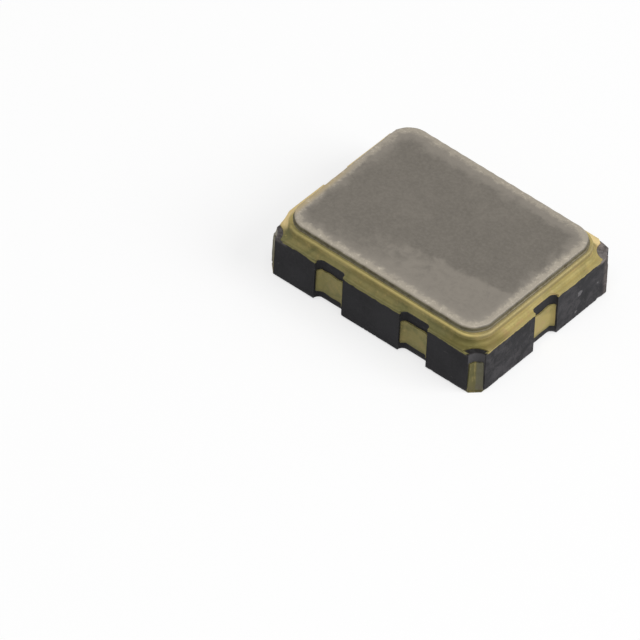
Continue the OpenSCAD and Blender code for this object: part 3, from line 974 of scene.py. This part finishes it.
class MakeTerminals(bpy.types.Operator):
    """Builds the four terminals: a pad with round corners joined to a collar round the package's
    corner, and the plating that climbs the castellation as a quarter tube."""

    bl_idname = "oscillator.make_terminals"
    bl_label = "Terminals"

    def execute(self, context):
        finish = gold_plate("gold_terminal", 1.2, terminal_wear_and_light)
        for number in range(1, TERMINALS + 1):
            node = f"terminal_{number}"
            centre = (low(node) + high(node))[:2]
            flip = np.sign(centre)
            shells = [self.pad(node, number == 1), self.castellation(node, number)]
            shells = [(trimmed(points * (*flip, 1)), faces) for points, faces in shells]
            if all(flip > 0):
                shells = [(laid_off(points), faces) for points, faces in shells]
            piece(f"{node}_plating", shells, finish, [node])
        return {"FINISHED"}

    @staticmethod
    def pad(node, tabbed):
        """The pad's outline for the +X +Y corner, from straight lines, round corners, the collar's
        arc and the chord of the cut, as a slab."""
        s = sizes()
        a, b = half_size("ceramic_base")
        collar, cut, soft = s.collar_radius, s.corner_radius, 0.02 * MM
        x0, y0 = low("terminal_3")[:2]
        x1, y1 = a - s.pad_end_gap, b - s.pad_side_gap
        into_end = -np.arccos(-s.pad_end_gap / collar)
        into_side = np.arcsin(s.pad_side_gap / collar) - np.pi
        short = 0.02 * MM  # the pad stops this far short of the body's sides
        lean = np.arcsin(short / collar)
        line = [arc((x0 + soft, y0 + soft), soft, np.pi, 1.5 * np.pi, 5),
                arc((x1 - soft, y0 + soft), soft, -HALF_PI, 0, 5),
                arc((a, b), collar, into_end, -HALF_PI - lean, 8),
                np.array([[a - short, b - cut + short], [a - cut + short, b - short]]),
                arc((a, b), collar, lean - np.pi, into_side, 8)]
        if tabbed:
            end = -high(node)[0]
            line += [arc((end + soft, y1 - soft), soft, HALF_PI, np.pi, 5),
                     arc((end + soft, y1 - s.tab_width + soft), soft, np.pi, 1.5 * np.pi, 5),
                     np.array([[x0, y1 - s.tab_width]])]
        else:
            line.append(arc((x0 + soft, y1 - soft), soft, HALF_PI, np.pi, 5))
        outline = even_steps(np.concatenate(line))
        return slab(outline, low(node)[2], low(node)[2] + s.plating, 0.003 * MM)

    @staticmethod
    def castellation(node, number):
        """The plating in the castellation of the +X +Y corner: a bar that follows the cut's arc, a
        little narrower upwards, with an uneven upper edge. Its foot starts inside the pad and fills the
        cut to its chord."""
        s = sizes()
        corner, count = half_size("ceramic_base"), 28
        wide, narrow = 0.1, 0.16  # angle left bare at each end of the arc, below and above

        def along(depth, drawn_in):
            """The cut's arc, moved out of the wall by a depth and shorter by an angle at each end."""
            return arc(corner, s.corner_radius - depth, -HALF_PI - drawn_in, drawn_in - np.pi, count)

        def filled(share):
            """The plating's face, moved by a share towards the chord of the cut."""
            line = along(0.003 * MM, wide)
            chord = line[0] + (line[-1] - line[0]) * np.linspace(0, 1, count)[:, None]
            return share * chord + (1 - share) * along(s.plating, wide)

        foot = low(node)[2] + s.plating / 2
        top = high(node)[2] - uneven(0.014, 0.5, np.linspace(0, 0.45, count), number)
        return bar([raised(filled(1), foot), raised(along(0, wide), foot), raised(along(0, narrow), top),
                    raised(along(s.plating, narrow), top), raised(filled(0), foot + 0.16 * MM),
                    raised(filled(0.4), foot + 0.07 * MM)])


class MakeContacts(bpy.types.Operator):
    """Builds the six side contacts: plating that follows a notch's wall, with slightly uneven
    edges."""

    bl_idname = "oscillator.make_contacts"
    bl_label = "Side contacts"

    def execute(self, context):
        s, half = sizes(), half_size("ceramic_base")
        finish = gold_plate("gold_contact", 1.1, contact_wear, share=0.95)
        flat = s.notch_length / 2 - s.notch_depth
        bare = 0.3  # angle left bare at each end of the notch
        turn = np.concatenate([np.linspace(np.pi - bare, HALF_PI, 10), np.full(12, HALF_PI),
                               np.linspace(HALF_PI, bare, 10)])
        along = np.concatenate([np.full(10, -flat), np.linspace(-flat, flat, 12), np.full(10, flat)])
        ray = rays(turn)
        centre = np.stack([along, 0 * along], axis=1)
        for number in range(1, NOTCHES + 1):
            node = f"side_contact_{number}"
            middle = (low(node) + high(node))[:2] / 2
            at_end = abs(middle[0]) > half[0] - s.notch_depth
            out = np.array([np.sign(middle[0]), 0]) if at_end else np.array([0, np.sign(middle[1])])
            side = np.array([-out[1], out[0]])
            start = out * (half[0] if at_end else half[1]) + side * (middle @ side)

            def placed(line):
                """Points given as along the notch and into it, put where this one is."""
                return start + line[:, :1] * side - line[:, 1:] * out

            outer = placed(centre + ray * s.notch_depth)
            inner = placed(centre + ray * (s.notch_depth - s.plating))
            waver = np.linspace(0, 0.5, len(turn))
            bottom = low(node)[2] + uneven(0.006, 0.8, waver, number)
            top = high(node)[2] - uneven(0.006, 0.8, waver, number + 20)
            points, faces = bar([raised(inner, bottom), raised(outer, bottom), raised(outer, top),
                                 raised(inner, top)])
            piece(f"contact_{number}_plating", [(trimmed(points), faces)], finish, [node])
        return {"FINISHED"}


class MakeDie(bpy.types.Operator):
    """Finishes the oscillator die, its seat, its glue and its bonding pads."""

    bl_idname = "oscillator.make_die"
    bl_label = "Die and seat"

    def execute(self, context):
        glue = speckled("silver_glue", (0.5, 0.5, 0.49), (0.34, 0.34, 0.34), 30, 0.6, (0.4, 0.6), 0.002)
        pads = speckled("pad_aluminium", (0.78, 0.78, 0.79), (0.66, 0.66, 0.67), 60, 1.0, (0.25, 0.4))
        dress("oscillator_die", circuit_silicon())
        dress("die_attach_pad", gold_plate("gold_inner", 0.5))
        dress("die_attach_glue", glue)
        dress("die_bond_pads", pads)
        return {"FINISHED"}


class MakeWires(bpy.types.Operator):
    """Builds the six bonding wires, each a parabola whose height is 4 times its rise times the share
    travelled and the share left, with a pressed ball on the die and a stitch on its finger, and
    finishes the fingers."""

    bl_idname = "oscillator.make_wires"
    bl_label = "Bonding wires"

    def execute(self, context):
        s = sizes()
        finger_gold = gold_plate("gold_finger", 0.4)
        wire_gold = speckled("gold_wire", (0.80, 0.56, 0.20), (0.66, 0.44, 0.14), 80, 1.0, (0.18, 0.3),
                             0.0004)
        for number in range(1, WIRES + 1):
            dress(f"bond_finger_{number}", finger_gold)
            node = f"bond_wire_{number}"
            lo, hi = low(node), high(node)
            foot = s.wire * 1.2
            x, way = (lo[0] + hi[0]) / 2, np.sign(lo[1] + hi[1])
            inner, outer = sorted((abs(lo[1]), abs(hi[1])))
            start = np.array([x, way * (inner + foot), lo[2]])
            end = np.array([x, way * (outer - foot), lo[2]])
            share = np.linspace(0, 1, 22)
            chord = start + (end - start) * share[:, None]
            chord[:, 2] += s.wire / 2 + (hi[2] - lo[2] - s.wire) * 4 * share * (1 - share)
            shells = [tube(chord, s.wire / 2), button(start, foot, s.wire), button(end, foot, s.wire * 0.7)]
            piece(f"wire_{number}_bonded", shells, wire_gold, [node], 60)
        return {"FINISHED"}


class MakeCrystal(bpy.types.Operator):
    """Finishes the quartz blank, its two films, its seats and its glue."""

    bl_idname = "oscillator.make_crystal"
    bl_label = "Quartz crystal"

    def execute(self, context):
        dress("crystal_blank", lapped_quartz())
        film = speckled("electrode_silver", (0.82, 0.8, 0.74), (0.7, 0.68, 0.62), 50, 1.0, (0.16, 0.28),
                        0.0004)
        seat = gold_plate("gold_seat", 0.5)
        glue = speckled("conductive_glue", (0.46, 0.46, 0.45), (0.3, 0.3, 0.3), 28, 0.6, (0.45, 0.65), 0.003)
        for side in ("top", "bottom"):
            dress(f"electrode_{side}", film)
        for number in (1, 2):
            dress(f"crystal_pad_{number}", seat)
            dress(f"crystal_glue_{number}", glue)
        return {"FINISHED"}


def softbox(name, towards, distance, width, level):
    """A square soft light in a direction from the part. A white surface that faces it renders at
    about level: its power is pi squared times the distance squared times the level."""
    lamp = bpy.data.lights.new(name, "AREA")
    lamp.shape = "SQUARE"
    lamp.size = width
    lamp.energy = level * np.pi ** 2 * distance ** 2
    made = linked(name, lamp)
    away = Vector(towards).normalized()
    made.location = away * distance
    made.rotation_euler = away.to_track_quat("Z", "Y").to_euler()


class MakeStage(bpy.types.Operator):
    """Sets the pale floor, the soft lights, the plain surroundings and the camera."""

    bl_idname = "oscillator.make_stage"
    bl_label = "Stage"

    def execute(self, context):
        self.floor()
        self.surroundings()
        softbox("key_light", (0.78, 0.30, 0.55), 0.16, 0.11, 0.75)
        softbox("top_light", (0.12, -0.18, 1), 0.14, 0.08, 0.34)
        self.camera()
        bpy.context.scene.view_settings.view_transform = "Standard"
        return {"FINISHED"}

    @staticmethod
    def floor():
        """A flat sheet a hair under the part, so that the terminals' faces are free of it. It lets the
        view through from below."""
        reach, level = 0.4, -0.001 * MM
        mesh = bpy.data.meshes.new("floor")
        far = 1.5 * reach  # longer one way, so that its diagonal passes clear of the part
        corners = [(-reach, -reach, level), (far, -reach, level), (far, reach, level), (-reach, reach, level)]
        mesh.from_pydata(corners, [], [(0, 1, 2, 3)])
        f, shade = Finish("pale_floor"), colours().floor
        f.colour = scaled(shade, 0.995)
        f.coat(f.noise(0.8, 2), shade)
        mesh.materials.append(f.done(0.9, Specular_IOR_Level=0.1))
        glow = add(f.tree, "ShaderNodeEmission", {"Color": (1, 1, 1, 1), "Strength": 1.0})
        above = mixed_shaders(f.tree, seen(f.tree) * FLOOR_WHITE, f.shader, glow)
        below = add(f.tree, "ShaderNodeNewGeometry").outputs["Backfacing"]
        both = mixed_shaders(f.tree, below, above, add(f.tree, "ShaderNodeBsdfTransparent"))
        join(f.tree, f.output.inputs["Surface"], both.outputs[0])
        made = linked("floor", mesh)

    @staticmethod
    def surroundings():
        """Even soft light from all round, seen as plain white."""
        world = bpy.data.worlds.new("plain_room")
        world.use_nodes = True
        tree = world.node_tree
        tree.nodes.clear()
        light = add(tree, "ShaderNodeBackground", {"Color": (1, 1, 1, 1), "Strength": ROOM_LIGHT})
        white = add(tree, "ShaderNodeBackground", {"Color": (1, 1, 1, 1), "Strength": 1.0})
        both = mixed_shaders(tree, seen(tree), light, white)
        add(tree, "ShaderNodeOutputWorld", {"Surface": both.outputs[0]})
        bpy.context.scene.world = world

    @staticmethod
    def camera():
        """A long lens, 38 degrees round from the front and 44 degrees up, slightly rolled."""
        turn, rise, roll = np.radians((37.80, 43.98, 3.23))
        right = np.array([np.cos(turn), np.sin(turn), 0])
        back = np.array([np.sin(turn) * np.cos(rise), -np.cos(turn) * np.cos(rise), np.sin(rise)])
        up = np.cross(back, right)
        right, up = (np.cos(roll) * right + np.sin(roll) * up, np.cos(roll) * up - np.sin(roll) * right)
        distance, aside, down = 184.04 * MM, 1.370 * MM, 0.496 * MM
        spot = distance * back - aside * right - down * up + np.array([0, 0, 0.02 * MM])
        data = bpy.data.cameras.new("camera")
        data.sensor_width = 36
        data.lens = 892.7
        data.clip_start = 0.001
        data.clip_end = 10
        made = linked("camera", data)
        facing = Matrix(np.stack([right, up, back], axis=1).tolist()).to_4x4()
        made.matrix_world = Matrix.Translation(spot) @ facing
        bpy.context.scene.camera = made


MAKERS = (MakeBody, MakeLand, MakeRing, MakeLid, MakeTerminals, MakeContacts, MakeDie, MakeWires,
          MakeCrystal, MakeStage)


class OSCILLATOR_PT_panel(bpy.types.Panel):
    """Lists the operators, the sizes and the colours."""

    bl_label = "Oscillator"
    bl_category = "Oscillator"
    bl_space_type = "VIEW_3D"
    bl_region_type = "UI"

    def draw(self, context):
        for maker in MAKERS:
            self.layout.operator(maker.bl_idname)
        for group in (context.scene.oscillator_sizes, context.scene.oscillator_colours):
            box = self.layout.box()
            for key in type(group).__annotations__:
                box.prop(group, key)


CLASSES = (OscillatorSizes, OscillatorColours, *MAKERS, OSCILLATOR_PT_panel)


def register():
    for each in CLASSES:
        bpy.utils.register_class(each)
    bpy.types.Scene.oscillator_sizes = PointerProperty(type=OscillatorSizes)
    bpy.types.Scene.oscillator_colours = PointerProperty(type=OscillatorColours)


def unregister():
    del bpy.types.Scene.oscillator_colours
    del bpy.types.Scene.oscillator_sizes
    for each in reversed(CLASSES):
        bpy.utils.unregister_class(each)


def main():
    """Registers everything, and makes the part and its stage."""
    register()
    for maker in MAKERS:
        group, name = maker.bl_idname.split(".")
        getattr(getattr(bpy.ops, group), name)()


if __name__ == "__main__":
    main()
